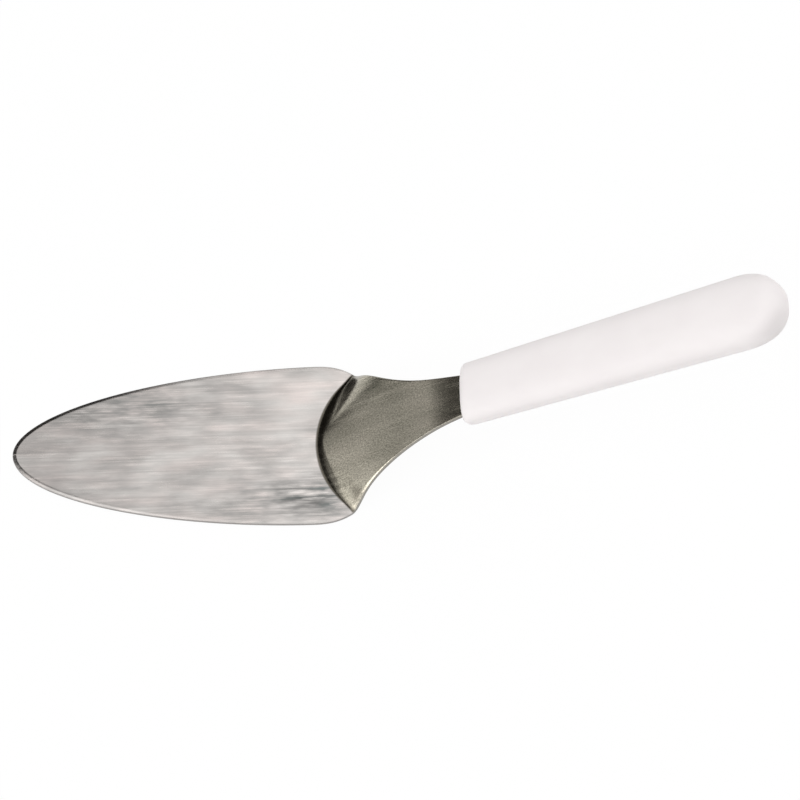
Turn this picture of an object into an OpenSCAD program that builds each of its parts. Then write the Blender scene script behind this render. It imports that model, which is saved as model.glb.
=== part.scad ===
// Cake server: one pressed steel sheet with a plastic handle moulded over its tang.
// X runs from the tip to the butt, Z is up, and the blade's flat underside lies at Z = 0.
// The origin is under the middle of the whole server.

/* [Blade] */
// Length from the tip to the heel corners
blade_l = 117.5; // [100:0.5:140]
// Width at the widest place
blade_w = 59.6; // [50:0.2:70]
// Length from the widest place back to the heel corners
shoulder_l = 13.9; // [9:0.1:20]
// How far each heel corner stands in from the widest line
heel_in = 3.6; // [2:0.1:7]
// Fullness of the outline at the tip, where 2 is an ellipse
tip_power = 1.855; // [1.6:0.005:2.4]
// Fullness of the outline along the sides, where 2 is an ellipse
side_power = 1.97; // [1.7:0.01:2.4]
// How late and how sharply the outline turns in at the heel
heel_power = 2.6; // [1.6:0.05:4]

/* [Sheet] */
// Thickness of the steel sheet
sheet_t = 1.5; // [1:0.1:2]
// Width of the eased band along the blade's upper edge
ease_w = 1.4; // [0.6:0.1:2]
// Depth that this band drops at the very edge
ease_h = 0.5; // [0.2:0.1:0.7]
// Width and depth of the small rounding on every other edge
burr_r = 0.2; // [0.1:0.05:0.3]

/* [Crease] */
// Radius of the crease's round middle, seen from above
crease_r = 31.5; // [26:0.25:45]
// Angle at which its straight ends run out to the heel corners
crease_angle = 41.8; // [32:0.1:50]
// Half the length of the bend behind the crease, at the crease's middle and at its ends
bend_l = 1.6; // [1.2:0.1:2.4]
// How much longer that bend grows between the middle and each end, as a share
bend_swell_share = 1.4; // [0:0.1:1.8]

/* [Neck] */
// Level length from the middle of the crease to the handle
neck_l = 52; // [42:0.2:65]
// Width at the handle, and of the whole tang
neck_w = 14.8; // [12:0.2:16]
// Angle at which the middle of the neck climbs
neck_rise = 34.4; // [26:0.1:40]
// How soon the flared shoulders flatten out into the neck
fade_power = 8; // [3:0.5:9]
// How quickly the neck narrows behind the heel corners
flare_power = 2.7; // [1.6:0.05:3.5]
// Part of that narrowing that is a straight taper all the way to the handle
flare_straight_share = 0.34; // [0:0.02:0.8]
// Half the length of the slight bend that levels the neck before the handle
turn_l = 4; // [1:0.5:5]

/* [Tang] */
// Length of tang inside the handle
tang_l = 82; // [70:1:98]
// Corner radius at the tang's end
tang_end_r = 4; // [2:0.5:5]
// Diameter of the holes that the plastic flows through
hole_d = 7; // [4:0.5:9]
// Distance from the handle's front to the first hole
hole_first = 15; // [10:1:20]
// Distance between one hole and the next
hole_pitch = 25; // [18:1:26]
// Number of holes
hole_count = 3; // [1:1:3]
// Clearance between the tang and the plastic round it
tang_gap = 0.05; // [0.02:0.01:0.15]

/* [Handle] */
// Length of the handle along its own axis
handle_l = 118; // [105:1:140]
// Angle at which the handle climbs
handle_tilt = 29.6; // [22:0.1:38]
// Width at the front
front_w = 21.6; // [19:0.2:26]
// Width that the taper reaches at the butt
butt_w = 24.6; // [19:0.2:30]
// Thickness at the front
front_t = 11; // [8:0.2:14]
// Thickness that the taper reaches at the butt
butt_t = 15; // [11:0.2:20]
// Squareness of the section, where 2 is an oval
section_power = 2.75; // [2.4:0.05:6]
// Radius of the front's corners, seen from above
front_corner_r = 2; // [1:0.1:2.6]
// Radius that rolls the top and underside down to the front face
front_roll_r = 3.6; // [2:0.2:4.6]
// Length over which the sides round in to the butt
butt_side_l = 15.4; // [10:0.1:24]
// Length over which the top and underside round in to the butt
butt_roll_l = 7.4; // [5:0.1:14]
// Fullness of the butt, where 2 is an ellipse
butt_power = 2.1; // [1.8:0.01:3.2]

/* [Hidden] */

// Counts that set how finely each form is drawn. The neck's rows stand closer near the crease.
tip_rows = 30;
heel_rows = 12;
bend_rows = 9;
neck_rows = 12;
neck_rows_power = 1.4;
end_rows = 5;
columns_each_side = 9;
section_points = 48;
hole_points = 48;
front_stations = 6;
mid_stations = 4;
butt_stations = 14;

// Overrun of every cut past the face that it opens
overrun = 2;
// Step over which the slope of the sheet is measured
slope_step = 0.01;
// First angle of the tip's rows, which leaves the tip a hair's breadth of flat
tip_start = 1.2;
// Last angle of the butt's stations, which leaves a small flat at its centre
butt_end = 87;
// Share of the blade's length at which its rows begin to sweep back like the crease
sweep_share = 0.4;
// Share of the neck's length over which the eased band runs out
ease_out_share = 0.3;
// Scale that brings the top of the hump u * u * (1 - u) to 1
hump_scale = 27 / 4;

// Plan of the crease, which bulges towards the tip
heel_half = blade_w / 2 - heel_in;
arc_half = crease_r * sin(crease_angle);
arc_drop = crease_r * (1 - cos(crease_angle));
crease_x = blade_l - drop(heel_half);
widest_x = blade_l - shoulder_l;

// Places along the neck and the tang
front_x = crease_x + neck_l;
turn_x = front_x - 2 * turn_l;
tang_end_x = front_x + tang_l * cos(handle_tilt);
tang_round_x = front_x + (tang_l - tang_end_r) * cos(handle_tilt);
turn_slope = tan(neck_rise) - tan(handle_tilt);
front_z = mid_height(front_x, 0);
front_roll = min(front_roll_r, front_t / 2 - sheet_t);

// How far the crease has swept back at a distance y from the middle
function drop(y) =
    let (a = abs(y))
    a < arc_half
        ? crease_r - sqrt(crease_r * crease_r - a * a)
        : arc_drop + (a - arc_half) * tan(crease_angle);

// A ramp that starts at -half, curves up, and is a straight slope of 1 from +half
function soft_ramp(v, half) =
    v <= -half ? 0 : v >= half ? v : (v + half) * (v + half) / (4 * half);

// Half the width of the sheet at each x, from the tip to the end of the tang
function sheet_half(x) =
    x <= widest_x ? blade_w / 2 * pow(1 - pow(1 - max(x, 0) / widest_x, tip_power), 1 / side_power) :
    x <= blade_l ? blade_w / 2 - heel_in * pow((x - widest_x) / shoulder_l, heel_power) :
    x <= front_x ? neck_half(x) :
    x <= tang_round_x ? neck_w / 2 :
    neck_w / 2 - tang_end_r * (1 - round_share((x - tang_round_x) / (tang_end_x - tang_round_x)));

function neck_half(x) =
    let (left = (front_x - x) / (front_x - blade_l))
    let (taper = flare_straight_share * left + (1 - flare_straight_share) * pow(left, flare_power))
    neck_w / 2 + (heel_half - neck_w / 2) * taper;

// Height of a quarter circle at a share of its radius
function round_share(u) = sqrt(max(0, 1 - u * u));

// Half the length of the bend at a distance y from the middle, longest between middle and heel
function bend_half(y) =
    let (u = min(1, abs(y) / heel_half))
    bend_l * (1 + bend_swell_share * hump_scale * u * u * (1 - u));

// Height of the sheet's middle surface. The crease is the line where the flat blade starts to
// bend. Behind its middle the neck climbs straight back. The shoulders start to climb further
// back, and make up that lag before the handle, where the sheet is flat from side to side.
function mid_height(x, y) =
    let (c = drop(y))
    let (half = bend_half(y))
    let (run = soft_ramp(x - crease_x - c - half, half))
    let (lag = c + half - bend_l)
    let (fade = pow(max(0, 1 - run / neck_l), fade_power))
    sheet_t / 2 + tan(neck_rise) * (run + lag * (1 - fade))
        - turn_slope * soft_ramp(x - turn_x, turn_l);

// A point of the sheet, raised from the middle surface along the sheet's own normal
function sheet_point(x, y, raise) =
    let (slope_x = (mid_height(x + slope_step, y) - mid_height(x - slope_step, y)) / (2 * slope_step))
    let (slope_y = (mid_height(x, y + slope_step) - mid_height(x, y - slope_step)) / (2 * slope_step))
    let (len = sqrt(slope_x * slope_x + slope_y * slope_y + 1))
    [x - raise * slope_x / len, y - raise * slope_y / len, mid_height(x, y) + raise / len];

// Where the row that runs a set distance behind the crease meets the sheet's edge
function crease_edge(behind, low = 0, high = blade_w, tries = 24) =
    let (y = (low + high) / 2)
    let (x = crease_x + behind + drop(y))
    tries == 0 ? [x, y] :
    sheet_half(x) > y ? crease_edge(behind, y, high, tries - 1) : crease_edge(behind, low, y, tries - 1);

// Rows of the sheet. Each is the point where it meets the edge, and how much it sweeps back.
bend_reach = 2 * bend_l * (1 + bend_swell_share);
bend_first = crease_edge(0);
bend_last = crease_edge(bend_reach);
sweep_x = blade_l * sweep_share;

function edge_row(x, sweep) = [x, sheet_half(x), sweep];
function sweep_at(x) = max(0, (x - sweep_x) / (bend_first[0] - sweep_x));
function neck_sweep_at(x) = max(0, (turn_x - turn_l - x) / (turn_x - turn_l - bend_last[0]));

rows = concat(
    [for (i = [0:tip_rows]) let (a = tip_start + (90 - tip_start) * i / tip_rows)
        let (x = widest_x * (1 - cos(a))) edge_row(x, sweep_at(x))],
    [for (i = [1:heel_rows - 1])
        let (x = widest_x + (bend_first[0] - widest_x) * i / heel_rows) edge_row(x, sweep_at(x))],
    [for (i = [0:bend_rows]) let (e = crease_edge(bend_reach * i / bend_rows)) [e[0], e[1], 1]],
    [for (i = [1:neck_rows])
        let (x = bend_last[0] + (turn_x - turn_l - bend_last[0]) * pow(i / neck_rows, neck_rows_power))
        edge_row(x, neck_sweep_at(x))],
    [for (i = [-1:2]) edge_row(turn_x + turn_l * i / 2, 0)],
    [edge_row(front_x, 0)],
    [for (i = [0:end_rows]) let (a = 90 * i / end_rows)
        edge_row(tang_round_x + (tang_end_x - tang_round_x) * sin(a), 0)]
);
last_row = len(rows) - 1;

// The direction from one row's edge point to the next one's. At both ends it runs straight across.
function edge_way(i) =
    i < 0 ? [0, 1] :
    i == last_row ? [0, -1] :
    let (step = [rows[i + 1][0] - rows[i][0], rows[i + 1][1] - rows[i][1]])
    step / norm(step);

// The edge's outward direction at a row, square to the middle of the directions on its two sides
function row_side(i) =
    let (along = edge_way(i - 1) + edge_way(i))
    [-along[1], along[0]] / norm(along);

// Share of the eased band that is left at x, which runs out along the neck
function ease_left(x) =
    min(1, max(0, 1 - (x - blade_l) / (neck_l * ease_out_share)));

// One line of points across the sheet, drawn in from the edge and raised from its middle
function across(i, draw_in, raise, way) =
    let (row = rows[i])
    let (side = row_side(i))
    let (half = row[1] - draw_in * side[1])
    let (x_end = row[0] - draw_in * side[0])
    [for (j = [-columns_each_side:columns_each_side]) let (y = way * half * j / columns_each_side)
        sheet_point(x_end - row[2] * (drop(half) - drop(y)), y, raise)];

// The closed loop of points round the sheet at one row
function sheet_loop(i) =
    let (row = rows[i])
    let (left = ease_left(row[0]))
    let (band_w = burr_r + (ease_w - burr_r) * left)
    let (band_h = burr_r + (ease_h - burr_r) * left)
    let (top = sheet_t / 2)
    concat(
        across(i, band_w, top, 1),
        [sheet_point(row[0], row[1], top - band_h)],
        [sheet_point(row[0], row[1], burr_r - top)],
        across(i, burr_r, -top, -1),
        [sheet_point(row[0], -row[1], burr_r - top)],
        [sheet_point(row[0], -row[1], top - band_h)]
    );

// Triangles between one closed loop of n points and the next
function skin(loops, n) =
    [for (i = [0:loops - 2], j = [0:n - 1], half = [0, 1])
        let (k = (j + 1) % n)
        let (a = i * n + j)
        let (b = i * n + k)
        half == 0 ? [a, a + n, b + n] : [a, b + n, b]];

function flipped(list) = [for (i = [len(list) - 1:-1:0]) list[i]];

line_n = 2 * columns_each_side + 1;
loop_n = 2 * line_n + 4;

// The three flat facets that close one end: the eased edge, the cut edge and the lower rounding
function end_faces(first) = [
    concat([first + loop_n - 1], [for (j = [0:line_n]) first + j]),
    [first + loop_n - 1, first + line_n, first + line_n + 1, first + loop_n - 2],
    [for (j = [line_n + 1:loop_n - 2]) first + j]
];

module sheet() {
    points = [for (i = [0:last_row]) each sheet_loop(i)];
    tip_end = end_faces(0);
    tang_end = [for (f = end_faces(last_row * loop_n)) flipped(f)];
    polyhedron(points, concat(skin(last_row + 1, loop_n), tip_end, tang_end), convexity = 6);
}

// Puts its children on the handle's axis, with the front of the handle at zero
module on_handle() {
    translate([front_x, 0, front_z])
        rotate([0, -handle_tilt, 0])
            children();
}

module each_hole() {
    for (i = [0:hole_count - 1])
        translate([hole_first + i * hole_pitch, 0])
            children();
}

// How far a rounding of radius r draws a side in at a distance s from the front face
function drawn_in(s, r) = s < r ? r - sqrt(r * r - (r - s) * (r - s)) : 0;

// Share of the width that the rounding of the butt leaves at s
function butt_share(s, rounding_l) =
    let (u = max(0, 1 - (handle_l - s) / rounding_l))
    pow(max(0, 1 - pow(u, butt_power)), 1 / butt_power);

function half_width(s) =
    ((front_w + (butt_w - front_w) * s / handle_l) / 2 - drawn_in(s, front_corner_r))
        * butt_share(s, butt_side_l);

function half_thickness(s) =
    ((front_t + (butt_t - front_t) * s / handle_l) / 2 - drawn_in(s, front_roll))
        * butt_share(s, butt_roll_l);

function signed_power(v, p) = sign(v) * pow(abs(v), p);

front_l = max(front_corner_r, front_roll);
butt_l = max(butt_side_l, butt_roll_l);
stations = concat(
    [for (i = [0:front_stations]) front_l * (1 - cos(90 * i / front_stations))],
    [for (i = [1:mid_stations - 1]) front_l + (handle_l - front_l - butt_l) * i / mid_stations],
    [for (i = [0:butt_stations]) handle_l - butt_l + butt_l * sin(butt_end * i / butt_stations)]
);

// One section of the handle, a rounded rectangle that is neither oval nor square
function section(s) =
    [for (j = [0:section_points - 1]) let (a = 360 * j / section_points)
        [s,
            half_width(s) * signed_power(cos(a), 2 / section_power),
            half_thickness(s) * signed_power(sin(a), 2 / section_power)]];

handle_points = [for (s = stations) each section(s)];

module moulding() {
    n = section_points;
    count = len(stations);
    front_face = [for (j = [0:n - 1]) j];
    butt_face = [for (j = [n - 1:-1:0]) (count - 1) * n + j];
    polyhedron(handle_points, concat([for (f = skin(count, n)) flipped(f)], [flipped(front_face)],
        [flipped(butt_face)]), convexity = 4);
}

// Outline of the bed that the tang lies in, with the clearance all round
module bed_outline() {
    inner_half = neck_w / 2 - tang_end_r;
    translate([-overrun, -neck_w / 2 - tang_gap])
        square([overrun + tang_l - tang_end_r, neck_w + 2 * tang_gap]);
    translate([tang_l - tang_end_r - overrun, -inner_half])
        square([overrun + tang_end_r + tang_gap, 2 * inner_half]);
    for (way = [-1, 1])
        translate([tang_l - tang_end_r, way * inner_half])
            circle(r = tang_end_r + tang_gap, $fn = hole_points);
}

// The space for the tang. The plastic runs through its holes as solid plugs.
module tang_bed() {
    translate([0, 0, -sheet_t / 2 - tang_gap])
        linear_extrude(sheet_t + 2 * tang_gap)
            difference() {
                bed_outline();
                each_hole() circle(d = hole_d - 2 * tang_gap, $fn = hole_points);
            }
}

// Middle of the whole server along X, which is set over the origin
butt_x = max([for (p = handle_points) front_x + p[0] * cos(handle_tilt) - p[2] * sin(handle_tilt)]);
middle_x = (rows[0][0] + butt_x) / 2;

module in_place() {
    translate([-middle_x, 0, 0])
        children();
}

module blade() {
    color([0.76, 0.74, 0.73])
        in_place()
            difference() {
                sheet();
                on_handle()
                    each_hole()
                        cylinder(h = 2 * overrun + sheet_t, d = hole_d, center = true, $fn = hole_points);
            }
}

module handle() {
    color([0.94, 0.92, 0.91])
        in_place()
            on_handle()
                difference() {
                    moulding();
                    tang_bed();
                }
}

blade();
handle();
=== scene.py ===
# %% [markdown]
# # Dressing a cake server
#
# A cake server is two pieces. One is a steel sheet, cut to a leaf shape, brushed, and
# pressed along a curved crease so that its neck climbs away from the table. The other
# is a plastic handle, moulded straight onto the end of the sheet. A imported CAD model
# fixes where both of them are. This lesson builds finer meshes of the same two pieces
# and gives each its finish. All lengths are in metres.

import math

import bmesh
import bpy
import numpy as np
from mathutils import Matrix, Vector


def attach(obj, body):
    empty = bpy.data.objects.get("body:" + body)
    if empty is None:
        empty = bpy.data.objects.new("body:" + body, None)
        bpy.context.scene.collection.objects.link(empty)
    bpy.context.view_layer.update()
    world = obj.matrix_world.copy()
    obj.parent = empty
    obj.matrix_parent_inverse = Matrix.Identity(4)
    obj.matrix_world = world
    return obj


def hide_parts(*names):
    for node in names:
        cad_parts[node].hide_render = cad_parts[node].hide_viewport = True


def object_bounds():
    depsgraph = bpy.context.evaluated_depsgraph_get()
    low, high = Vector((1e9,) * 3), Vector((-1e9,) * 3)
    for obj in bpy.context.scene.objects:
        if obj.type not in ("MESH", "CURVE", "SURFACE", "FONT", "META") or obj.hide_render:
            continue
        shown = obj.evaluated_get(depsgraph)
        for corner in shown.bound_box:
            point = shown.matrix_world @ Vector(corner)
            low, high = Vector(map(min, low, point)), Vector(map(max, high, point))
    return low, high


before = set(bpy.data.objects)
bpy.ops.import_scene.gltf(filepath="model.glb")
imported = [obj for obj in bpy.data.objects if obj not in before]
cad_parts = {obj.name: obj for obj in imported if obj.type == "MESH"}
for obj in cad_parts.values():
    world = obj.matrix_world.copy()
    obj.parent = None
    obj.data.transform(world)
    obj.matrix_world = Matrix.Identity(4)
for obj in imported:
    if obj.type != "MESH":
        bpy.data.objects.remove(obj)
cad_low, cad_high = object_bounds()
print("CAD nodes:", sorted(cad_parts))
print("CAD box in mm:", [round(side * 1000, 2) for side in cad_high - cad_low])

# %% [markdown]
# ## Camera
#
# The photograph looks down steeply from the near side, with the picture turned a few
# degrees so that the handle points up to the right. A camera could be placed by eye,
# but then every comparison would drift. Instead its three angles, its aim and its lens
# were worked out once from the server's outline, and are kept here as plain values.

# %% Place the camera
look_at = Vector((0.00344, 0.01628, 0.0))
camera_distance = 1.0
camera_height_angle = math.radians(63.4)
camera_turn = math.radians(5.99)
camera_roll = math.radians(7.44)
lens_mm = 130.5
sensor_mm = 36.0


def add_camera():
    """A camera that looks at look_at from the photograph's side."""
    ahead = Vector((-math.sin(camera_turn), math.cos(camera_turn), 0))
    level_right = Vector((math.cos(camera_turn), math.sin(camera_turn), 0))
    up = Vector((0, 0, 1))
    back = up * math.sin(camera_height_angle) - ahead * math.cos(camera_height_angle)
    level_up = up * math.cos(camera_height_angle) + ahead * math.sin(camera_height_angle)
    right = level_right * math.cos(camera_roll) - level_up * math.sin(camera_roll)
    top = level_right * math.sin(camera_roll) + level_up * math.cos(camera_roll)
    data = bpy.data.cameras.new("photo_camera")
    data.lens = lens_mm
    data.sensor_width = sensor_mm
    camera = bpy.data.objects.new("photo_camera", data)
    turned = Matrix((right, top, back)).transposed()
    camera.matrix_world = Matrix.Translation(look_at + back * camera_distance) @ turned.to_4x4()
    bpy.context.scene.collection.objects.link(camera)
    return camera


bpy.context.scene.camera = add_camera()
bpy.context.scene.view_settings.view_transform = "Standard"
print("camera at", [round(x, 3) for x in bpy.context.scene.camera.matrix_world.translation])

# %% [markdown]
# ## Small helpers for node trees
#
# A material in Blender is a graph of nodes. Building one in code is mostly adding a
# node, setting a few of its values and joining two sockets, so a few short helpers
# keep the later cells readable.

# %% Node helpers
def add_node(tree, kind, inputs=None, **settings):
    """Adds a node, and sets its properties by name and its inputs by name or number."""
    node = tree.nodes.new(kind)
    for name, value in settings.items():
        setattr(node, name, value)
    for name, value in (inputs or {}).items():
        node.inputs[name].default_value = value
    return node


def join(tree, source, target):
    """Links an output socket to an input socket."""
    tree.links.new(source, target)


def new_material(name):
    """A material with an empty graph and an output, ready to be filled."""
    material = bpy.data.materials.new(name)
    material.use_nodes = True
    material.node_tree.nodes.clear()
    output = add_node(material.node_tree, "ShaderNodeOutputMaterial")
    return material, material.node_tree, output


def calculate(tree, operation, a, b):
    """A Math node. Each operand is a number or a socket."""
    node = add_node(tree, "ShaderNodeMath", operation=operation)
    for place, operand in enumerate((a, b)):
        if isinstance(operand, bpy.types.NodeSocket):
            join(tree, operand, node.inputs[place])
        else:
            node.inputs[place].default_value = operand
    return node.outputs[0]


# %% [markdown]
# ## Floor
#
# The server lies on a white sweep. The floor is a real diffuse surface, so it bounces
# light and takes a shadow, but what the camera and the metal see of it is mostly a
# plain white of strength 1. The rest shows the real surface, which keeps a faint shadow.

# %% Build the floor
floor_half_side = 8.0
floor_depth = 0.0001
floor_white_share = 0.95
floor_colour = (0.93, 0.93, 0.93, 1)


def floor_material():
    """Paper that bounces light, mixed with plain white for the camera and the metal."""
    material, tree, output = new_material("white_sweep")
    paper = add_node(tree, "ShaderNodeBsdfPrincipled", {"Base Color": floor_colour, "Roughness": 1.0})
    paper.inputs["Specular IOR Level"].default_value = 0.0
    white = add_node(tree, "ShaderNodeEmission", {"Color": (1, 1, 1, 1), "Strength": 1.0})
    ray = add_node(tree, "ShaderNodeLightPath")
    seen = calculate(tree, "MAXIMUM", ray.outputs["Is Camera Ray"], ray.outputs["Is Glossy Ray"])
    seen = calculate(tree, "MAXIMUM", seen, ray.outputs["Is Transmission Ray"])
    mix = add_node(tree, "ShaderNodeMixShader")
    join(tree, calculate(tree, "MULTIPLY", seen, floor_white_share), mix.inputs["Fac"])
    join(tree, paper.outputs[0], mix.inputs[1])
    join(tree, white.outputs[0], mix.inputs[2])
    join(tree, mix.outputs[0], output.inputs["Surface"])
    return material


def add_floor():
    """A square just below the face that the blade lies on."""
    side = floor_half_side
    flat_corners = ((-side, -side), (side, -side), (side, side), (-side, side))
    corners = [(x, y, cad_low.z - floor_depth) for x, y in flat_corners]
    mesh = bpy.data.meshes.new("floor")
    mesh.from_pydata(corners, [], [(0, 1, 2, 3)])
    floor = bpy.data.objects.new("floor", mesh)
    mesh.materials.append(floor_material())
    bpy.context.scene.collection.objects.link(floor)
    return floor


floor = add_floor()
print("floor side in m:", 2 * floor_half_side)

# %% [markdown]
# ## Light
#
# Steel shows its surroundings, so its light and dark parts are set by what stands round
# it. The flat blade faces up and mirrors the strips overhead, which get dimmer to the
# left, so the tip is greyer than the heel. The crease tips its face past the last strip
# to a part of the room that is left dark, so it turns black. The neck tips further and
# mirrors dim panels low on the left wall. The bright panels at the front left are seen
# only in the eased edge and the near corner of the heel. The key light and the panels
# at the back, right and front right fill the handle, and give the steel something to
# mirror when it is seen from other sides.

# %% Hang the light panels
def add_panel(name, centre, aim, width, height, brightness):
    """A rectangular lamp. brightness is what a mirror that faces it would show."""
    data = bpy.data.lights.new(name, "AREA")
    data.shape = "RECTANGLE"
    data.size = width
    data.size_y = height
    data.energy = brightness * math.pi * width * height
    panel = bpy.data.objects.new(name, data)
    panel.location = centre
    panel.rotation_euler = (Vector(aim) - Vector(centre)).to_track_quat("-Z", "Y").to_euler()
    bpy.context.scene.collection.objects.link(panel)
    return panel


# The room round the server. x runs to the right, y to the back and z up, as in the frame.
ceiling = 2.6
room_left, panel_left, room_right = -2.2, -0.86, 3.1
room_front, panel_front, room_back = -2.6, -0.4, 4.2
side_front, side_middle, side_back = -0.25, 0.6, 1.4
low_top, faint_top = 0.90, 1.25


def add_top_panel(name, left, right, front, back, brightness):
    """A level panel overhead."""
    centre = ((left + right) / 2, (front + back) / 2, ceiling)
    add_panel(name, centre, (*centre[:2], 0), right - left, back - front, brightness)


def add_left_panel(name, front, back, bottom, top, brightness):
    """An upright panel on the left, between two heights."""
    centre = (room_left, (front + back) / 2, (bottom + top) / 2)
    add_panel(name, centre, (0, *centre[1:]), back - front, top - bottom, brightness)


strip_edges = (panel_left, -0.55, -0.3, room_right)
strip_brightness = (0.84, 1.16, 1.36)
for i, brightness in enumerate(strip_brightness):
    strip_left, strip_right = strip_edges[i], strip_edges[i + 1]
    add_top_panel("top_strip_" + str(i + 1), strip_left, strip_right, panel_front, room_back, brightness)
add_top_panel("front_top_panel", panel_left, room_right, room_front, panel_front, 1.5)
add_top_panel("front_left_top_panel", room_left, panel_left, room_front, -0.05, 1.9)
add_left_panel("low_left_panel", side_front, side_middle, 0, low_top, 0.68)
add_left_panel("low_back_left_panel", side_middle, side_back, 0, low_top, 0.64)
add_left_panel("faint_left_panel", side_front, side_back, low_top, faint_top, 0.12)
add_left_panel("dim_left_panel", side_front, side_middle, faint_top, ceiling, 0.24)
add_left_panel("tall_left_panel", room_front, side_front, 0, ceiling, 1.35)
add_panel("back_panel", (1.05, room_back, 1.9), (1.05, 0, 1.9), 4.1, 1.4, 1.3)
add_panel("right_panel", (room_right, 2.25, 1.3), (0, 2.25, 1.3), 3.9, 2.6, 1.4)
add_panel("front_panel", (-0.9, room_front, 1.3), (-0.9, 0, 1.3), 2.6, ceiling, 0.3)
add_panel("front_right_panel", (1.75, room_front, 1.3), (1.75, 0, 1.3), 2.7, ceiling, 0.45)
add_panel("front_left_key", (-1.8, -1.32, 0.96), (0, 0, 0.03), 1.7, 1.5, 1.45)

# %% Leave the rest of the room dark
room_grey = (0.02, 0.018, 0.016, 1)


def build_world():
    """Everything that no panel covers is one dark grey."""
    world = bpy.data.worlds.new("studio")
    world.use_nodes = True
    tree = world.node_tree
    tree.nodes.clear()
    background = add_node(tree, "ShaderNodeBackground", {"Color": room_grey})
    output = add_node(tree, "ShaderNodeOutputWorld")
    join(tree, background.outputs[0], output.inputs["Surface"])
    return world


bpy.context.scene.world = build_world()
print("room grey:", room_grey[:3])

# %% [markdown]
# ## The sheet's outline and its crease
#
# On the real server a blanking die cuts this outline in one stroke, and a second die
# presses the crease. Tracing points off a picture would give a lumpy edge, so the
# outline is a few curves instead: two superellipses for the tip and sides, a late turn
# at the heel, and a power curve that narrows the neck. The same few sizes as in the CAD
# model drive them.

# %% Sizes of the sheet
blade_length = 0.1175
blade_width = 0.0596
shoulder_length = 0.0139
heel_in = 0.0036
tip_power = 1.855
side_power = 1.97
heel_power = 2.6
sheet_thickness = 0.0015
crease_radius = 0.0315
crease_angle = math.radians(41.8)
bend_length = 0.0016
bend_swell = 1.4
hump_scale = 27 / 4  # makes the peak of u * u * (1 - u) equal to 1
neck_length = 0.052
neck_width = 0.0148
neck_rise = math.radians(34.4)
handle_tilt = math.radians(29.6)
fade_power = 8
flare_power = 2.7
flare_straight_share = 0.34
turn_length = 0.004
tang_length = 0.082
tang_end_radius = 0.004
sheet_sizes = (blade_length, blade_width, sheet_thickness)
print("blade's length, width and thickness in mm:", [round(size * 1000, 2) for size in sheet_sizes])

# %% Curves of the sheet
def crease_drop(y):
    """How far the crease has swept back at a distance y from the middle line."""
    away = np.abs(y)
    arc_half = crease_radius * math.sin(crease_angle)
    arc_drop = crease_radius * (1 - math.cos(crease_angle))
    on_arc = crease_radius - np.sqrt(crease_radius**2 - np.minimum(away, arc_half) ** 2)
    return np.where(away < arc_half, on_arc, arc_drop + (away - arc_half) * math.tan(crease_angle))


def soft_ramp(value, half):
    """Zero before -half, a slope of 1 after half, and a smooth bend between them."""
    bend = (value + half) ** 2 / (4 * half)
    return np.where(value <= -half, 0.0, np.where(value >= half, value, bend))


heel_half = blade_width / 2 - heel_in
crease_x = blade_length - float(crease_drop(heel_half))
widest_x = blade_length - shoulder_length
front_x = crease_x + neck_length
turn_x = front_x - 2 * turn_length
tang_end_x = front_x + tang_length * math.cos(handle_tilt)
tang_round_x = front_x + (tang_length - tang_end_radius) * math.cos(handle_tilt)


def half_width_at(x):
    """Half the sheet's width at each x, from the tip at zero to the end of the tang."""
    x = np.asarray(x, float)
    tip = np.clip(1 - np.clip(x, 0, widest_x) / widest_x, 0, 1)
    leaf = blade_width / 2 * (1 - tip**tip_power) ** (1 / side_power)
    late = np.clip((x - widest_x) / shoulder_length, 0, 1)
    heel = blade_width / 2 - heel_in * late**heel_power
    left = np.clip((front_x - x) / (front_x - blade_length), 0, 1)
    taper = flare_straight_share * left + (1 - flare_straight_share) * left**flare_power
    neck = neck_width / 2 + (heel_half - neck_width / 2) * taper
    end = np.clip((x - tang_round_x) / (tang_end_x - tang_round_x), 0, 1)
    tang = neck_width / 2 - tang_end_radius * (1 - np.sqrt(1 - end**2))
    places = [x <= widest_x, x <= blade_length, x <= front_x]
    return np.select(places, [leaf, heel, neck], tang)


print("widest line at", round(widest_x * 1000, 2), "mm, crease at", round(crease_x * 1000, 2), "mm")
print("handle begins at", round(front_x * 1000, 2), "mm from the tip")

# %% [markdown]
# ## The sheet's height
#
# Paper folded along a curve shows what the press does here. In the middle the neck
# climbs straight back from the crease. At the sides the crease lies further back, so
# the shoulders start lower and have to catch up before the neck is flat across. One
# height formula says all of this, and the two faces are then offset to either side.

# %% Height and normal of the middle surface
slope_step = 0.00001


def bend_half(y):
    """Half the length of the bend, which is longest between the middle and each heel."""
    u = np.minimum(1, np.abs(y) / heel_half)
    return bend_length * (1 + bend_swell * hump_scale * u**2 * (1 - u))


def mid_height(x, y):
    """Height of the surface halfway through the sheet. The bend starts at the crease line."""
    half = bend_half(y)
    run = soft_ramp(x - crease_x - crease_drop(y) - half, half)
    lag = crease_drop(y) + half - bend_length
    lag_left = np.clip(1 - run / neck_length, 0, 1) ** fade_power
    climb = math.tan(neck_rise) * (run + lag * (1 - lag_left))
    turn = (math.tan(neck_rise) - math.tan(handle_tilt)) * soft_ramp(x - turn_x, turn_length)
    return sheet_thickness / 2 + climb - turn


def sheet_point(x, y, offset):
    """A point that stands offset away from the middle surface, along its normal."""
    x, y, offset = np.broadcast_arrays(np.asarray(x, float), y, offset)
    slope_x = (mid_height(x + slope_step, y) - mid_height(x - slope_step, y)) / (2 * slope_step)
    slope_y = (mid_height(x, y + slope_step) - mid_height(x, y - slope_step)) / (2 * slope_step)
    length = np.sqrt(slope_x**2 + slope_y**2 + 1)
    height = mid_height(x, y) + offset / length
    return np.stack([x - offset * slope_x / length, y - offset * slope_y / length, height], -1)


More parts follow.
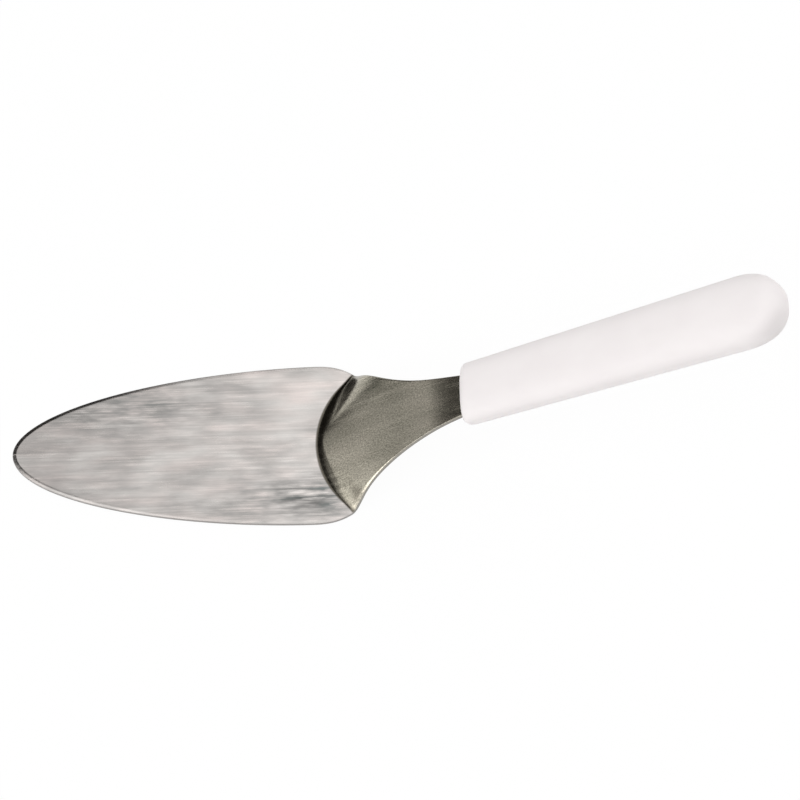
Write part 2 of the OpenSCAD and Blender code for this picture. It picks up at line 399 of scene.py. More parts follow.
front_z = float(mid_height(front_x, 0.0))
print("middle of the neck meets the handle at a height of", round(front_z * 1000, 2), "mm")

# %% [markdown]
# ## Rows across the sheet
#
# A grid of quads shades cleanly only where its rows follow the form. The rows crowd
# together at the round tip and in the bend. Towards the crease they sweep back until
# they lie along it, and beyond it they straighten out again.

# %% Lay out the rows
tip_rows = 70
heel_rows = 26
bend_rows = 30
neck_rows = 54
turn_rows = 16
tang_rows = 10
end_rows = 8
tip_start = math.radians(0.3)
tip_crowding = 1.3
sweep_start_share = 0.4
neck_crowding = 1.4
halvings = 40


def crease_edge(behind):
    """Where the line that runs a set distance behind the crease meets the outline."""
    low, high = 0.0, blade_width
    for _ in range(halvings):
        y = (low + high) / 2
        inside = half_width_at(crease_x + behind + crease_drop(y)) > y
        low, high = (y, high) if inside else (low, y)
    return float(crease_x + behind + crease_drop(y))


def row_places():
    """The x where each row meets the outline, and the share of the crease's sweep it has."""
    bend_reach = 2 * bend_length * (1 + bend_swell)
    bend_first, bend_last = crease_edge(0), crease_edge(bend_reach)
    sweep_x = blade_length * sweep_start_share
    neck_end = turn_x - turn_length
    angles = tip_start + (math.pi / 2 - tip_start) * np.linspace(0, 1, tip_rows + 1) ** tip_crowding
    tip = widest_x * (1 - np.cos(angles))
    heel = np.linspace(widest_x, bend_first, heel_rows + 1)[1:-1]
    bend = [crease_edge(b) for b in np.linspace(0, bend_reach, bend_rows)]
    neck = bend_last + (neck_end - bend_last) * np.linspace(0, 1, neck_rows + 1)[1:] ** neck_crowding
    turn = np.linspace(neck_end, front_x, turn_rows + 1)[1:]
    tang = np.linspace(front_x, tang_round_x, tang_rows + 1)[1:-1]
    end = tang_round_x + (tang_end_x - tang_round_x) * np.sin(np.linspace(0, math.pi / 2, end_rows))
    x = np.concatenate([tip, heel, bend, neck, turn, tang, end])
    before = np.clip((x - sweep_x) / (bend_first - sweep_x), 0, 1)
    after = np.clip((neck_end - x) / (neck_end - bend_last), 0, 1)
    return x, np.where(x < bend_last, before, after)


row_x, row_sweep = row_places()
row_y = half_width_at(row_x)
print("rows:", len(row_x))

# %% [markdown]
# ## The edge's profile
#
# The blade's upper edge is eased on a belt, so it falls away gently over a millimetre
# and a half and catches the light. The cut side below it keeps the die's square shear,
# and every other corner is only broken. Modelling these few tenths matters more than
# any texture, because an edge this thin is what tells the eye that it is sheet metal.

# %% Profile of the edge, from the upper face round to the lower face
ease_width = 0.0014
ease_depth = 0.0005
ease_power = 1.5
corner_radius = 0.00012
burr_radius = 0.0002
ease_out_share = 0.3
ease_points = 7
corner_points = 4


def edge_profile(x):
    """Pairs of distance in from the outline and height above the middle surface."""
    left = np.clip(1 - (x - blade_length) / (neck_length * ease_out_share), 0, 1)
    width = burr_radius + (ease_width - burr_radius) * left
    depth = burr_radius + (ease_depth - burr_radius) * left - corner_radius
    top = sheet_thickness / 2
    u = np.linspace(0, 1, ease_points)
    a = np.linspace(0, math.pi / 2, corner_points + 1)[1:]
    band_in = corner_radius + (width - corner_radius) * (1 - u)
    band_up = top - depth * u**ease_power
    round_in = corner_radius * (1 - np.sin(a))
    round_up = top - depth - corner_radius * (1 - np.cos(a))
    under_in = burr_radius * (1 - np.cos(a))
    under_up = -top + burr_radius * (1 - np.sin(a))
    inward = np.concatenate([band_in, round_in, [0], under_in])
    upward = np.concatenate([band_up, round_up, [burr_radius - top], under_up])
    return inward, upward


print("points in one edge:", len(edge_profile(0)[0]))

# %% Direction in which the outline faces at each row
def outline_facing():
    """Unit vectors that point out of the sheet at each row's end."""
    x = np.concatenate([[row_x[1]], row_x, [row_x[-2]]])
    y = np.concatenate([[-row_y[1]], row_y, [-row_y[-2]]])
    step = np.stack([np.diff(x), np.diff(y)], -1)
    step /= np.linalg.norm(step, axis=1)[:, None]
    along = step[:-1] + step[1:]
    along /= np.linalg.norm(along, axis=1)[:, None]
    return np.stack([-along[:, 1], along[:, 0]], -1)


facing = outline_facing()
print("the tip faces", [round(part, 2) for part in facing[0].tolist()])

# %% [markdown]
# ## Building the sheet
#
# Each row becomes one closed loop of points: across the upper face, round one edge,
# back across the lower face and round the other edge. Neighbouring loops are joined
# with quads, and the first and last loop are closed. That gives one watertight solid
# with even quads along both faces.

# %% One closed loop for each row
columns_each_side = 34


def row_line(i, inward, height, way):
    """Points across a face at row i, as far as a set distance in from the outline."""
    half = row_y[i] - inward * facing[i, 1]
    x_end = row_x[i] - inward * facing[i, 0]
    y = way * half * np.linspace(-1, 1, 2 * columns_each_side + 1)
    x = x_end - row_sweep[i] * (crease_drop(half) - crease_drop(y))
    return sheet_point(x, y, height)


def row_loop(i):
    """The loop of points round the sheet at row i."""
    inward, upward = edge_profile(row_x[i])
    edge_x = row_x[i] - inward * facing[i, 0]
    edge_y = row_y[i] - inward * facing[i, 1]
    far_edge = sheet_point(edge_x[1:-1], edge_y[1:-1], upward[1:-1])
    near_edge = sheet_point(edge_x[-2:0:-1], -edge_y[-2:0:-1], upward[-2:0:-1])
    upper = row_line(i, inward[0], upward[0], 1)
    lower = row_line(i, inward[-1], upward[-1], -1)
    return np.concatenate([upper, far_edge, lower, near_edge])


def skin(loops):
    """Points and quads between neighbouring closed loops, with both ends closed."""
    count, size = len(loops), len(loops[0])
    faces = []
    for i in range(count - 1):
        for j in range(size):
            k = (j + 1) % size
            faces.append((i * size + j, (i + 1) * size + j, (i + 1) * size + k, i * size + k))
    faces.append(tuple(range(size)))
    faces.append(tuple((count - 1) * size + j for j in reversed(range(size))))
    return np.concatenate(loops), faces


# %% Turn points and faces into an object
tip_x_in_frame = cad_low.x
shift_x = tip_x_in_frame - float(row_x[0])


def new_piece(name, points, faces):
    """A mesh object in the frame's own place. The sheet's tip sits on the CAD box's end."""
    mesh = bpy.data.meshes.new(name)
    mesh.from_pydata((points + np.array([shift_x, 0, 0])).tolist(), [], faces)
    mesh.validate()
    piece = bpy.data.objects.new(name, mesh)
    bpy.context.scene.collection.objects.link(piece)
    shell = bmesh.new()
    shell.from_mesh(mesh)
    bmesh.ops.recalc_face_normals(shell, faces=shell.faces)
    shell.to_mesh(mesh)
    shell.free()
    return piece


steel_sheet = new_piece("steel_sheet", *skin([row_loop(i) for i in range(len(row_x))]))
print("sheet:", len(steel_sheet.data.vertices), "points,", len(steel_sheet.data.polygons), "faces")

# %% [markdown]
# ## Holes in the tang
#
# The tang is the strip of steel inside the handle. Holes are punched in it so that the
# molten plastic can run through and lock. Nobody sees them on a finished server, but
# they hold the handle on, so they belong to the form. A Boolean cut is right here: the
# wall is flat, and the hole's rim is hidden, so its shading does not matter.

# %% Points on the handle's axis
hole_diameter = 0.007
hole_first = 0.015
hole_pitch = 0.025
hole_count = 3
hole_sides = 48
pin_reach = 0.003
tang_gap = 0.00005
hole_places = [hole_first + i * hole_pitch for i in range(hole_count)]
axis_turn = np.array([
    [math.cos(handle_tilt), 0, -math.sin(handle_tilt)],
    [0, 1, 0],
    [math.sin(handle_tilt), 0, math.cos(handle_tilt)],
])


def on_axis(points):
    """Takes points measured from the handle's front, along its axis, to the sheet's place."""
    return np.asarray(points, float) @ axis_turn.T + np.array([front_x, 0, front_z])


print("holes in mm behind the handle's front:", [round(place * 1000, 1) for place in hole_places])

# %% Cut with a plate or pins, and keep the result
def cut_away(piece, cutter):
    """Subtracts cutter from piece for good, and removes the cutter."""
    modifier = piece.modifiers.new("cut", "BOOLEAN")
    modifier.operation = "DIFFERENCE"
    modifier.solver = "EXACT"
    modifier.object = cutter
    bpy.context.view_layer.update()
    evaluated = piece.evaluated_get(bpy.context.evaluated_depsgraph_get())
    old_mesh = piece.data
    piece.data = bpy.data.meshes.new_from_object(evaluated)
    piece.modifiers.clear()
    bpy.data.meshes.remove(old_mesh)
    cutter_mesh = cutter.data
    bpy.data.objects.remove(cutter)
    bpy.data.meshes.remove(cutter_mesh)


def hole_pins():
    """Three pins across the tang, as one cutter. No corner of theirs is on the middle line."""
    turn = (np.arange(hole_sides) + 0.5) * 2 * math.pi / hole_sides
    radius = hole_diameter / 2
    points, faces = [], []
    for place in hole_places:
        first = len(points)
        for height in (-pin_reach, pin_reach):
            for a in turn:
                points.append((place + radius * math.cos(a), radius * math.sin(a), height))
        for j in range(hole_sides):
            k = (j + 1) % hole_sides
            faces.append((first + j, first + k, first + hole_sides + k, first + hole_sides + j))
        faces.append(tuple(first + j for j in reversed(range(hole_sides))))
        faces.append(tuple(first + hole_sides + j for j in range(hole_sides)))
    return new_piece("hole_pins", on_axis(points), faces)


cut_away(steel_sheet, hole_pins())
print("sheet with holes:", len(steel_sheet.data.polygons), "faces")

# %% [markdown]
# ## The handle
#
# The moulding starts as a row of rounded rectangles along a tilted axis. It widens and
# thickens towards the butt, where the sides round in over a longer distance than the
# top, and the front is rolled over into a flat face. A cube with a bevel could come
# close, but its section would be wrong. A superellipse gives a flat grip with full
# sides from one number.

# %% Sizes of the handle
handle_length = 0.118
front_width = 0.0216
butt_width = 0.0246
front_thickness = 0.011
butt_thickness = 0.015
section_power = 2.75
front_corner_radius = 0.002
front_roll_radius = 0.0036
butt_side_length = 0.0154
butt_roll_length = 0.0074
butt_power = 2.1
front_stations = 14
middle_stations = 40
butt_stations = 30
section_points = 120
butt_last_angle = math.radians(87)
print("handle's length in mm:", round(handle_length * 1000, 2))

# %% Half width and half thickness along the handle
def drawn_in(s, radius):
    """How far a rounding draws the side in at a distance s from the front face."""
    left = np.clip(radius - s, 0, radius)
    return radius - np.sqrt(radius**2 - left**2)


def butt_share(s, rounding):
    """Share of the width that the rounding of the butt leaves."""
    u = np.clip(1 - (handle_length - s) / rounding, 0, 1)
    return (1 - u**butt_power) ** (1 / butt_power)


front_roll = min(front_roll_radius, front_thickness / 2 - sheet_thickness)


def handle_half_width(s):
    """Half the handle's width at a distance s from the front."""
    taper = (front_width + (butt_width - front_width) * s / handle_length) / 2
    return (taper - drawn_in(s, front_corner_radius)) * butt_share(s, butt_side_length)


def handle_half_thickness(s):
    """Half the handle's thickness at a distance s from the front."""
    taper = (front_thickness + (butt_thickness - front_thickness) * s / handle_length) / 2
    return (taper - drawn_in(s, front_roll)) * butt_share(s, butt_roll_length)


print("handle's half width at its middle in mm:", round(handle_half_width(handle_length / 2) * 1000, 2))

# %% Sections of the handle
def handle_section(s):
    """One closed section at a distance s from the front."""
    a = np.linspace(0, 2 * math.pi, section_points, endpoint=False)
    power = 2 / section_power
    wide = handle_half_width(s)
    thick = handle_half_thickness(s)
    y = wide * np.sign(np.cos(a)) * np.abs(np.cos(a)) ** power
    z = thick * np.sign(np.sin(a)) * np.abs(np.sin(a)) ** power
    return on_axis(np.stack([np.full_like(y, s), y, z], -1))


def handle_stations():
    """Distances from the front, closer together where the front and the butt round in."""
    front = max(front_corner_radius, front_roll)
    butt = max(butt_side_length, butt_roll_length)
    turn = np.linspace(0, math.pi / 2, front_stations + 1)
    end = np.linspace(0, butt_last_angle, butt_stations + 1)
    butt_start = handle_length - butt
    middle = np.linspace(front, butt_start, middle_stations + 1)[1:-1]
    return np.concatenate([front * (1 - np.cos(turn)), middle, butt_start + butt * np.sin(end)])


moulded_handle = new_piece("moulded_handle", *skin([handle_section(s) for s in handle_stations()]))
print("handle:", len(moulded_handle.data.vertices), "points")

# %% [markdown]
# ## The bed for the tang
#
# The plastic closes tightly round the steel. To show the hairline between them, the
# handle is cut with a plate a little larger than the tang. The plate is a flat curve
# with an extrusion: Blender fills the outline and leaves the inner circles open, so the
# plastic's three plugs stay standing.

# %% Make the plate from a flat curve and cut it out
plate_start = -0.003
corner_steps = 12
weld_distance = 0.000005


def flat_ring(curve, points):
    """Adds one closed outline of straight steps to a flat curve."""
    spline = curve.splines.new("POLY")
    spline.points.add(len(points) - 1)
    for point, (x, y) in zip(spline.points, points):
        point.co = (x, y, 0, 1)
    spline.use_cyclic_u = True


def circle_points(middle_x, middle_y, radius, first, last, count):
    """Points on an arc, from one angle to another."""
    turn = np.linspace(first, last, count)
    return [(middle_x + radius * math.cos(a), middle_y + radius * math.sin(a)) for a in turn]


def tang_plate():
    """A plate in the tang's place, larger all round by the gap."""
    curve = bpy.data.curves.new("tang_plate", "CURVE")
    curve.dimensions = "2D"
    curve.fill_mode = "BOTH"
    curve.extrude = sheet_thickness / 2 + tang_gap
    half = neck_width / 2 + tang_gap
    round_x = tang_length - tang_end_radius
    inner = neck_width / 2 - tang_end_radius
    radius = tang_end_radius + tang_gap
    lower = circle_points(round_x, -inner, radius, -math.pi / 2, 0, corner_steps)
    upper = circle_points(round_x, inner, radius, 0, math.pi / 2, corner_steps)
    flat_ring(curve, [(plate_start, -half), *lower, *upper, (plate_start, half)])
    for place in hole_places:
        last = 2 * math.pi * (1 - 1 / hole_sides)
        flat_ring(curve, circle_points(place, 0, hole_diameter / 2 - tang_gap, 0, last, hole_sides))
    maker = bpy.data.objects.new("tang_plate", curve)
    bpy.context.scene.collection.objects.link(maker)
    bpy.context.view_layer.update()
    flat = bpy.data.meshes.new_from_object(maker.evaluated_get(bpy.context.evaluated_depsgraph_get()))
    welded = bmesh.new()
    welded.from_mesh(flat)
    bmesh.ops.remove_doubles(welded, verts=welded.verts, dist=weld_distance)
    points = np.array([v.co for v in welded.verts])
    faces = [[v.index for v in f.verts] for f in welded.faces]
    welded.free()
    bpy.data.objects.remove(maker)
    return new_piece("tang_plate_solid", on_axis(points), faces)


cut_away(moulded_handle, tang_plate())
print("handle with its bed:", len(moulded_handle.data.polygons), "faces")

# %% [markdown]
# ## Smooth shading
#
# Both pieces are smooth forms with a few true corners. Shading them smooth and marking
# only the steep edges as sharp keeps the corners crisp. Weighted normals make the large
# faces decide, so the flat blade stays flat right up to its eased edge.

# %% Shade the pieces
sharp_angle = math.radians(38)


def shade(piece):
    """Smooth faces, sharp edges where the form has them, and even normals."""
    piece.data.shade_smooth()
    piece.data.set_sharp_from_angle(angle=sharp_angle)
    weighting = piece.modifiers.new("even_normals", "WEIGHTED_NORMAL")
    weighting.keep_sharp = True


shade(steel_sheet)
shade(moulded_handle)
print("edges steeper than", round(math.degrees(sharp_angle)), "degrees are sharp")

# %% [markdown]
# ## Coordinates and masks on the sheet
#
# Brushing runs along the sheet, also where it climbs, so the steel needs coordinates
# that lie in the sheet. A UV map gives them: one direction is the distance along the
# middle line, the other is the distance across. Three masks go with it. One says how
# much painted shade a point behind the crease gets, and where the press polished the
# fold: dark in the fold itself, and then a long faint shade, both stronger on the far
# side. One holds spots of painted shade and painted light, and one says how near the
# rim is, where the outline gets painted shade and a rougher finish.

# %% Write the UV map and the masks
rim_reach = 0.00035
# Reach and share of the painted shade in the fold and behind it.
fold_reach = 0.0020
extra_reach = 0.0050
shade_reach = 0.0075
shade_share = 0.6
path_steps = 4001
outline_step = 0.00002
# Spots of painted light and shade: a positive depth darkens a spot, and a negative one lightens it.
painted_light_and_shade_spots = (
    {"along": 0.104, "across": -0.0200, "length": 0.016, "width": 0.0062, "depth": 0.62},
    {"along": 0.095, "across": -0.0210, "length": 0.030, "width": 0.0080, "depth": 0.20},
    {"along": 0.102, "across": 0.018, "length": 0.014, "width": 0.008, "depth": -0.20},
    {"along": 0.034, "across": 0.016, "length": 0.030, "width": 0.007, "depth": 0.46},
    {"along": 0.1260, "across": 0.0230, "length": 0.0042, "width": 0.008, "depth": 0.80},
    {"along": 0.1240, "across": 0.0110, "length": 0.0120, "width": 0.010, "depth": 0.30},
    {"along": 0.1220, "across": -0.0210, "length": 0.0080, "width": 0.006, "depth": -0.40},
)


def run_along(x):
    """Distance from the tip along the middle line of the sheet."""
    steps = np.linspace(0, tang_end_x, path_steps)
    slopes = np.gradient(mid_height(steps, np.zeros_like(steps)), steps)
    lengths = np.concatenate([[0], np.cumsum(np.sqrt(1 + slopes[:-1] ** 2) * np.diff(steps))])
    return np.interp(x, steps, lengths)


def distance_to_outline(x, y):
    """How far a point lies inside the sheet's outline."""
    half = half_width_at(x)
    rise = half_width_at(x + outline_step) - half_width_at(x - outline_step)
    slope = rise / (2 * outline_step)
    return (half - np.abs(y)) / np.sqrt(1 + slope**2)


def set_mask(mesh, name, values):
    """Stores one number for each point of a mesh, under a name that a material can read."""
    mask = mesh.attributes.new(name, "FLOAT", "POINT")
    mask.data.foreach_set("value", values.astype(np.float32))


def mark_sheet(mesh):
    """Writes the three masks and the UV map of the sheet."""
    place = np.array([v.co for v in mesh.vertices])
    x, y = place[:, 0] - shift_x, place[:, 1]
    behind = x - crease_x - crease_drop(y)
    # Painted shade: dark in the fold and faint behind it. The same mask lowers the roughness in the
    # fold.
    far_share = np.clip(y / heel_half, 0, 1)
    in_fold = np.exp(-((behind / (fold_reach + far_share * extra_reach)) ** 2))
    past_fold = np.exp(-np.maximum(behind, 0) / shade_reach)
    share = shade_share * np.clip(1 + y / heel_half, 0, 1)
    pressed = (1 - share) * in_fold + share * past_fold
    set_mask(mesh, "pressed", np.where(behind > 0, pressed, 0))
    # Spots of painted shade and painted light on the blade.
    spot_light_and_shade = np.zeros(len(x))
    for spot in painted_light_and_shade_spots:
        along_off = (x - spot["along"]) / spot["length"]
        across_off = (y - spot["across"]) / spot["width"]
        spot_light_and_shade += spot["depth"] * np.exp(-(along_off**2) - across_off**2)
    set_mask(mesh, "spot_light_and_shade", spot_light_and_shade)
    # The rim mask gives the outline painted shade and a rougher finish.
    set_mask(mesh, "rim", np.clip(1 - distance_to_outline(x, y) / rim_reach, 0, 1))
    flat = np.stack([run_along(x), y], -1)
    corners = np.array([loop.vertex_index for loop in mesh.loops])
    uv = mesh.uv_layers.get("along_sheet") or mesh.uv_layers.new(name="along_sheet")
    uv.data.foreach_set("uv", flat[corners].astype(np.float32).ravel())
    print("masks on", len(place), "points; sheet's length along its middle in mm:",
          round(float(run_along(tang_end_x)) * 1000, 1))


mark_sheet(steel_sheet.data)

# %% [markdown]
# ## A shared effect: stretched noise
#
# Brushing, soft polish patches and the drift of tone in plastic are all one thing: a
# random pattern with its own length and width. It is built once as a node group. Each
# material places it with its own sizes.

# %% Node group for stretched noise
def add_socket(group, name, way, kind, value=None):
    """Adds a named input or output to a node group."""
    socket = group.interface.new_socket(name=name, in_out=way, socket_type=kind)
    if value is not None:
        socket.default_value = value


def stretched_noise_group():
    """Puts out a value from 0 to 1 that varies over the given sizes."""
    group = bpy.data.node_groups.new("stretched_noise", "ShaderNodeTree")
    add_socket(group, "Place", "INPUT", "NodeSocketVector")
    add_socket(group, "Along", "INPUT", "NodeSocketFloat", 0.01)
    add_socket(group, "Across", "INPUT", "NodeSocketFloat", 0.01)
    add_socket(group, "Detail", "INPUT", "NodeSocketFloat", 2.0)
    add_socket(group, "Low", "INPUT", "NodeSocketFloat", 0.3)
    add_socket(group, "High", "INPUT", "NodeSocketFloat", 0.7)
    add_socket(group, "Value", "OUTPUT", "NodeSocketFloat")
    given = add_node(group, "NodeGroupInput")
    result = add_node(group, "NodeGroupOutput")
    split = add_node(group, "ShaderNodeSeparateXYZ")
    combine = add_node(group, "ShaderNodeCombineXYZ")
    noise = add_node(group, "ShaderNodeTexNoise", {"Scale": 1.0, "Roughness": 0.55})
    spread = add_node(group, "ShaderNodeMapRange")
    join(group, given.outputs["Place"], split.inputs[0])
    for axis, size in (("X", "Along"), ("Y", "Across"), ("Z", "Across")):
        scaled = calculate(group, "DIVIDE", split.outputs[axis], given.outputs[size])
        join(group, scaled, combine.inputs[axis])
    join(group, combine.outputs[0], noise.inputs["Vector"])
    join(group, given.outputs["Detail"], noise.inputs["Detail"])
    join(group, noise.outputs[0], spread.inputs["Value"])
    join(group, given.outputs["Low"], spread.inputs["From Min"])
    join(group, given.outputs["High"], spread.inputs["From Max"])
    join(group, spread.outputs[0], result.inputs["Value"])
    return group


stretched_noise = stretched_noise_group()


def place_noise(tree, place, along, across, detail=2.0, low=0.3, high=0.7):
    """Places the noise group in a tree and returns its value socket."""
    node = add_node(tree, "ShaderNodeGroup", node_tree=stretched_noise)
    values = {"Along": along, "Across": across, "Detail": detail, "Low": low, "High": high}
    for name, value in values.items():
        node.inputs[name].default_value = value
    join(tree, place, node.inputs["Place"])
    return node.outputs["Value"]


print("group sockets:", [item.name for item in stretched_noise.interface.items_tree])

# %% [markdown]
# ## Steel
#
# The sheet was brushed lengthwise on a belt and then pressed. Its tone is a sum of
# patterns of different length: soft clouds, bands that run on for centimetres, lines
# that break off after a few millimetres, and hairs. The neck also has the fine grit that
# the press left. The colour carries most of this, the roughness some of it, and the
# height almost none, because brushing is only microns deep. A brushed face spreads its
# reflections across the brushing. The shader's anisotropy does that: its tangent comes
# from the UV map and is turned by a quarter of a full turn. The colour also holds painted
# shade: dark in the fold, faint behind it, and along the rim, as well as spots of painted
# shade and painted light. The press has polished the fold a little.

# %% Node group for brushed steel
# Length, width, detail, low and high of each pattern.
steel_patterns = {
    "clouds": (0.018, 0.0095, 1.5, 0.33, 0.67),
    "bands": (0.045, 0.0022, 1.5, 0.33, 0.67),
    "lines": (0.060, 0.0007, 2.0, 0.30, 0.70),
    "breaks": (0.0085, 0.0022, 2.0, 0.33, 0.67),
    "hairs": (0.0080, 0.00030, 2.0, 0.25, 0.75),
    "blush": (0.018, 0.0060, 1.0, 0.35, 0.65),
    "grit": (0.0007, 0.0005, 1.0, 0.2, 0.8),
}
tone_shift = 0.10


def mix_colours(tree, share, low, high):
    """Mixes two colours or colour sockets by a share."""
    mix = add_node(tree, "ShaderNodeMix", data_type="RGBA", clamp_factor=False)
    for name, colour in (("A", low), ("B", high)):
        socket = [s for s in mix.inputs if s.name == name and s.type == "RGBA"][0]
        if isinstance(colour, bpy.types.NodeSocket):
            join(tree, colour, socket)
        else:
            socket.default_value = (*colour, 1)
    factor = [s for s in mix.inputs if s.name == "Factor" and s.type == "VALUE"][0]
    if isinstance(share, bpy.types.NodeSocket):
        join(tree, share, factor)
    else:
        factor.default_value = share
    return [s for s in mix.outputs if s.type == "RGBA"][0]


def weighted_sum(tree, parts):
    """Adds sockets, each times its own weight."""
    total = 0.0
    for socket, weight in parts:
        total = calculate(tree, "ADD", total, calculate(tree, "MULTIPLY", socket, weight))
    return total


def steel_group():
    """Colour, roughness and height of brushed steel."""
    group = bpy.data.node_groups.new("brushed_steel", "ShaderNodeTree")
    add_socket(group, "Place", "INPUT", "NodeSocketVector")
    for name in ("Dark", "Light", "Blush"):
        add_socket(group, name, "INPUT", "NodeSocketColor", (0.7, 0.7, 0.7, 1))
    add_socket(group, "Shade", "INPUT", "NodeSocketFloat", 0.0)
    add_socket(group, "Lines", "INPUT", "NodeSocketFloat", 0.8)
    add_socket(group, "Grit", "INPUT", "NodeSocketFloat", 0.0)
    add_socket(group, "Polish", "INPUT", "NodeSocketFloat", 0.24)
    add_socket(group, "Colour", "OUTPUT", "NodeSocketColor")
    add_socket(group, "Roughness", "OUTPUT", "NodeSocketFloat")
    add_socket(group, "Height", "OUTPUT", "NodeSocketFloat")
    given = add_node(group, "NodeGroupInput")
    result = add_node(group, "NodeGroupOutput")
    place = given.outputs["Place"]
    pattern = {name: place_noise(group, place, *sizes) for name, sizes in steel_patterns.items()}
    clouds, bands, hairs = pattern["clouds"], pattern["bands"], pattern["hairs"]
    streaks = calculate(group, "MULTIPLY", pattern["lines"], pattern["breaks"])
    lined = calculate(group, "MULTIPLY", streaks, given.outputs["Lines"])
    brushed = weighted_sum(group, [(clouds, 0.44), (bands, 0.26), (lined, 1.0), (hairs, 0.18)])
    # A shaded spot darkens most between its streaks.
    uneven = calculate(group, "SUBTRACT", 1.5, calculate(group, "MULTIPLY", streaks, 2.0))
    drop = calculate(group, "MULTIPLY", given.outputs["Shade"], uneven)
    brushed = calculate(group, "SUBTRACT", calculate(group, "SUBTRACT", brushed, tone_shift), drop)
    centred = calculate(group, "SUBTRACT", pattern["grit"], 0.5)
    gritty = calculate(group, "MULTIPLY", given.outputs["Grit"], centred)
    tone = calculate(group, "ADD", brushed, gritty)
    bright = mix_colours(group, pattern["blush"], given.outputs["Light"], given.outputs["Blush"])
    join(group, mix_colours(group, tone, given.outputs["Dark"], bright), result.inputs["Colour"])
    rough = weighted_sum(group, [(streaks, 0.08), (hairs, 0.05), (clouds, -0.03)])
    join(group, calculate(group, "ADD", rough, given.outputs["Polish"]), result.inputs["Roughness"])
    join(group, weighted_sum(group, [(streaks, 0.5), (hairs, 0.5)]), result.inputs["Height"])
    return group


brushed_steel = steel_group()
print("steel group sockets:", [item.name for item in brushed_steel.interface.items_tree])

# %% Steel materials for the blade and the neck
across_the_brushing = 0.25
# The fold's colour is painted shade: a near-black that the fold and the strip behind it are mixed
# towards.
painted_fold_shade_colour = (0.06, 0.052, 0.04)
fold_shade_strength = 0.85
fold_polish = 0.2
rim_roughness = 0.22


def steel_material(name, tones, spread, lines, grit, polish, bump_height):
    """Brushed steel. tones holds the dark, light and blush colours and the colour of the painted shade
    along the rim. spread is how much further reflections reach across the brushing than along it."""
    material, tree, output = new_material(name)
    shader = add_node(tree, "ShaderNodeBsdfPrincipled", {"Metallic": 1.0, "Anisotropic": spread})
    shader.inputs["Anisotropic Rotation"].default_value = across_the_brushing
    uv = add_node(tree, "ShaderNodeUVMap", uv_map="along_sheet")
    dark, light, blush, rim_shade_colour = tones
    colours = {"Dark": (*dark, 1), "Light": (*light, 1), "Blush": (*blush, 1)}
    steel = add_node(tree, "ShaderNodeGroup", node_tree=brushed_steel)
    for socket_name, colour in colours.items():
        steel.inputs[socket_name].default_value = colour
    steel.inputs["Lines"].default_value = lines
    steel.inputs["Grit"].default_value = grit
    tangent = add_node(tree, "ShaderNodeTangent", direction_type="UV_MAP", uv_map="along_sheet")
    rim = add_node(tree, "ShaderNodeAttribute", attribute_name="rim").outputs["Fac"]
    pressed = add_node(tree, "ShaderNodeAttribute", attribute_name="pressed").outputs["Fac"]
    # Spots of painted shade and painted light darken or lighten the steel's tone.
    spot_light_and_shade = add_node(tree, "ShaderNodeAttribute", attribute_name="spot_light_and_shade").outputs["Fac"]
    bump = add_node(tree, "ShaderNodeBump", {"Strength": 1.0, "Distance": bump_height})
    join(tree, uv.outputs[0], steel.inputs["Place"])
    join(tree, spot_light_and_shade, steel.inputs["Shade"])
    evened = weighted_sum(tree, [(pressed, -fold_polish * polish), (rim, rim_roughness)])
    join(tree, calculate(tree, "ADD", evened, polish), steel.inputs["Polish"])
    # Painted shade in the fold and behind it: the colour is mixed towards a near-black.
    fold_shade_share = calculate(tree, "MULTIPLY", pressed, fold_shade_strength)
    fold_shaded = mix_colours(tree, fold_shade_share, steel.outputs["Colour"], painted_fold_shade_colour)
    # Painted shade along the rim: the outline is mixed towards a dark grey.
    join(tree, mix_colours(tree, rim, fold_shaded, rim_shade_colour), shader.inputs["Base Color"])
    join(tree, steel.outputs["Roughness"], shader.inputs["Roughness"])
    join(tree, steel.outputs["Height"], bump.inputs["Height"])
    join(tree, bump.outputs[0], shader.inputs["Normal"])
    join(tree, tangent.outputs[0], shader.inputs["Tangent"])
    join(tree, shader.outputs[0], output.inputs["Surface"])
    return material


# The last colour of each set is the painted shade along the rim.
blade_tones = ((0.345, 0.332, 0.320), (0.66, 0.597, 0.571), (0.63, 0.603, 0.581), (0.38, 0.36, 0.35))
neck_tones = ((0.41, 0.385, 0.315), (0.65, 0.61, 0.505), (0.63, 0.58, 0.485), (0.30, 0.285, 0.26))
blade_steel = steel_material(
    "blade_steel", blade_tones, spread=0.75, lines=0.62, grit=0.0, polish=0.21, bump_height=0.0000012
)
neck_steel = steel_material(
    "neck_steel", neck_tones, spread=0.5, lines=0.35, grit=2.0, polish=0.21, bump_height=0.0000004
)
print("steel materials:", blade_steel.name, neck_steel.name)

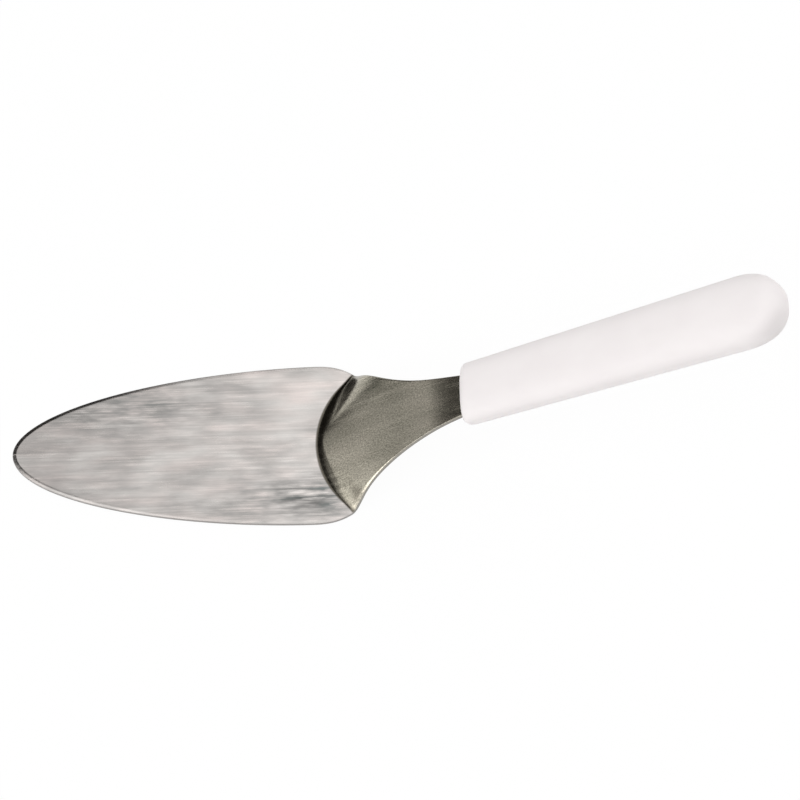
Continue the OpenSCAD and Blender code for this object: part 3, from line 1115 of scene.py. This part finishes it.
# %% Give the faces of the sheet their steel
def paint_sheet(piece):
    """Blade steel before the crease, neck steel behind it."""
    mesh = piece.data
    mesh.materials.clear()
    mesh.materials.append(blade_steel)
    mesh.materials.append(neck_steel)
    counts = [0, 0]
    for face in mesh.polygons:
        x = face.center.x - shift_x
        is_neck = x - crease_x - crease_drop(face.center.y) > 0
        face.material_index = 1 if is_neck else 0
        counts[face.material_index] += 1
    print("faces with blade steel and neck steel:", counts)


paint_sheet(steel_sheet)

# %% [markdown]
# ## Plastic
#
# The handle is ivory white, moulded smooth and left satin, so highlights spread wide
# and soft. A flat colour would look like a hole in the picture. Two faint effects are
# enough: the tone drifts a little over a few centimetres, and the surface has the fine
# pebble that a polished mould leaves.

# %% Material for the handle
ivory_dark = (0.825, 0.785, 0.785)
ivory_light = (0.850, 0.815, 0.812)
satin_roughness = 0.55
satin_specular = 0.35
drift_size = (0.030, 0.012)
pebble_size = (0.0005, 0.0005)
pebble_height = 0.000004


def plastic_material():
    """Moulded ivory plastic with a drift of tone and a fine pebble."""
    material, tree, output = new_material("ivory_plastic")
    shader = add_node(tree, "ShaderNodeBsdfPrincipled")
    shader.inputs["Specular IOR Level"].default_value = satin_specular
    place = add_node(tree, "ShaderNodeTexCoord").outputs["Object"]
    drift = place_noise(tree, place, *drift_size)
    pebble = place_noise(tree, place, *pebble_size)
    colour = mix_colours(tree, drift, ivory_dark, ivory_light)
    rough = weighted_sum(tree, [(drift, 0.05), (pebble, 0.06)])
    bump = add_node(tree, "ShaderNodeBump", {"Strength": 1.0, "Distance": pebble_height})
    join(tree, colour, shader.inputs["Base Color"])
    join(tree, calculate(tree, "ADD", rough, satin_roughness), shader.inputs["Roughness"])
    join(tree, pebble, bump.inputs["Height"])
    join(tree, bump.outputs[0], shader.inputs["Normal"])
    join(tree, shader.outputs[0], output.inputs["Surface"])
    return material


moulded_handle.data.materials.clear()
moulded_handle.data.materials.append(plastic_material())
print("handle's material:", moulded_handle.data.materials[0].name)

# %% [markdown]
# ## Tie the pieces to the frame
#
# Each piece rides on the one body of the server and stands in for its CAD node, which
# stays in the physics model.

# %% Ride and replace
for piece, node, finish in (
    (steel_sheet, "blade", "steel"),
    (moulded_handle, "handle", "white_plastic"),
):
    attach(piece, "root")
    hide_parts(node)
    print(piece.name, "replaces", node, "in the finish", finish)
